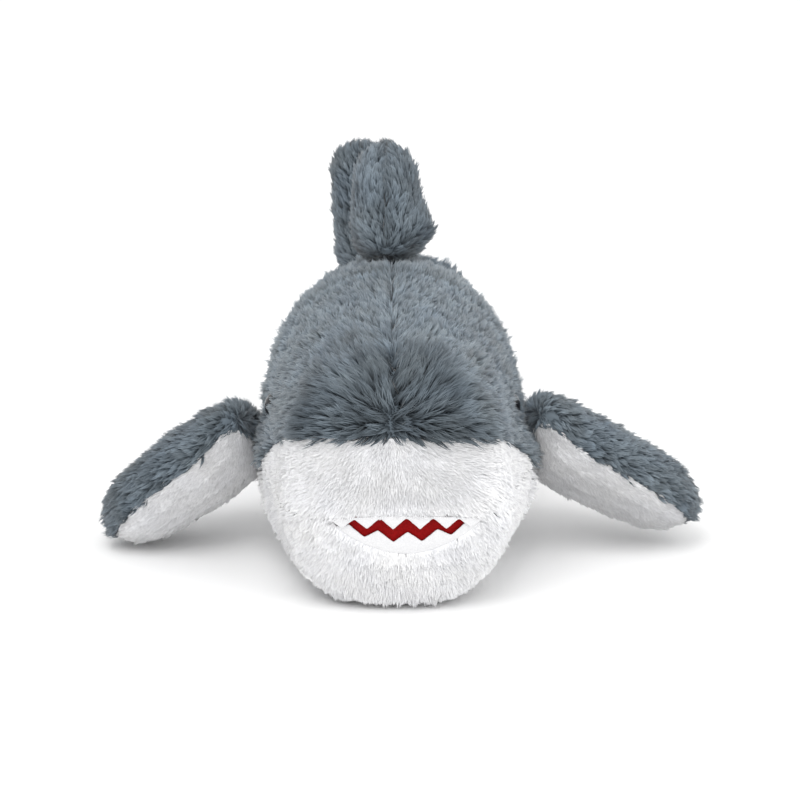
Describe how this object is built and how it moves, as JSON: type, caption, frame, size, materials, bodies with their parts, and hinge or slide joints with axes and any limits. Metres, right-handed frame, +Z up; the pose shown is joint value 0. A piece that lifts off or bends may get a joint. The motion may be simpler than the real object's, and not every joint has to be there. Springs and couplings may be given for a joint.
{
  "type": "plush shark",
  "caption": "Stuffed long-pile toy shark, grey above and white below, with an open mouth of felt teeth, spread pectoral fins, an upright dorsal fin and a forked tail fin.",
  "frame": {"origin": "on the resting surface, under the middle of the toy's bounding box", "axes": "+Z up, the nose points towards -Y and +X is to the right seen from the front"},
  "size_m": [0.3204, 0.3455, 0.1919],
  "materials": {
    "grey_pile": "long soft pile, darker at its foot",
    "white_pile": "short soft pile",
    "red_lining": "smooth woven fabric",
    "felt": "matt felt",
    "fibre_fill": "loose fibre filling",
    "eye_plastic": "glossy",
    "washer_plastic": "plain"
  },
  "bodies": {
    "body": {"snout_panel_left": "grey_pile", "snout_panel_right": "grey_pile", "muzzle_panel": "white_pile", "chin_panel": "white_pile", "back_panel_left": "grey_pile", "back_panel_right": "grey_pile", "belly_panel": "white_pile", "mouth_lining": "red_lining", "upper_teeth": "felt", "lower_teeth": "felt", "eye_left": "eye_plastic", "eye_right": "eye_plastic", "eye_washer_left": "washer_plastic", "eye_washer_right": "washer_plastic", "body_stuffing": "fibre_fill"},
    "left_fin": {"left_fin_top": "grey_pile", "left_fin_underside": "white_pile", "left_fin_stuffing": "fibre_fill"},
    "right_fin": {"right_fin_top": "grey_pile", "right_fin_underside": "white_pile", "right_fin_stuffing": "fibre_fill"},
    "dorsal_fin": {"dorsal_fin_left": "grey_pile", "dorsal_fin_right": "grey_pile", "dorsal_fin_stuffing": "fibre_fill"},
    "tail": {"tail_panel_left": "grey_pile", "tail_panel_right": "grey_pile", "tail_belly_panel": "white_pile", "tail_stuffing": "fibre_fill"},
    "tail_fin": {"tail_fin_left": "grey_pile", "tail_fin_right": "grey_pile", "tail_fin_stuffing": "fibre_fill"}
  },
  "joints": [
    {"name": "left_fin_flap", "type": "hinge", "parent": "body", "child": "left_fin", "pos_m": [-0.103, -0.06, 0.048], "axis": [0.3115, 0.848, -0.4287], "range_deg": [0, 50], "stiffness_Nm_per_rad": 0.35},
    {"name": "right_fin_flap", "type": "hinge", "parent": "body", "child": "right_fin", "pos_m": [0.0942, -0.06, 0.053], "axis": [0.2529, -0.848, 0.4657], "range_deg": [0, 50], "stiffness_Nm_per_rad": 0.35},
    {"name": "dorsal_fin_lean", "type": "hinge", "parent": "body", "child": "dorsal_fin", "pos_m": [-0.0078, 0.034, 0.1535], "axis": [0, 0.9703, -0.2419], "range_deg": [-25, 25], "stiffness_Nm_per_rad": 0.25},
    {"name": "tail_sway", "type": "hinge", "parent": "body", "child": "tail", "pos_m": [0, 0.079, 0.08], "axis": [0, 0, 1], "range_deg": [-38, 12], "stiffness_Nm_per_rad": 0.5},
    {"name": "tail_fin_sway", "type": "hinge", "parent": "tail", "child": "tail_fin", "pos_m": [-0.0144, 0.14136, 0.097], "axis": [-0.1187, -0.0274, 0.9925], "range_deg": [-25, 25], "stiffness_Nm_per_rad": 0.25}
  ]
}
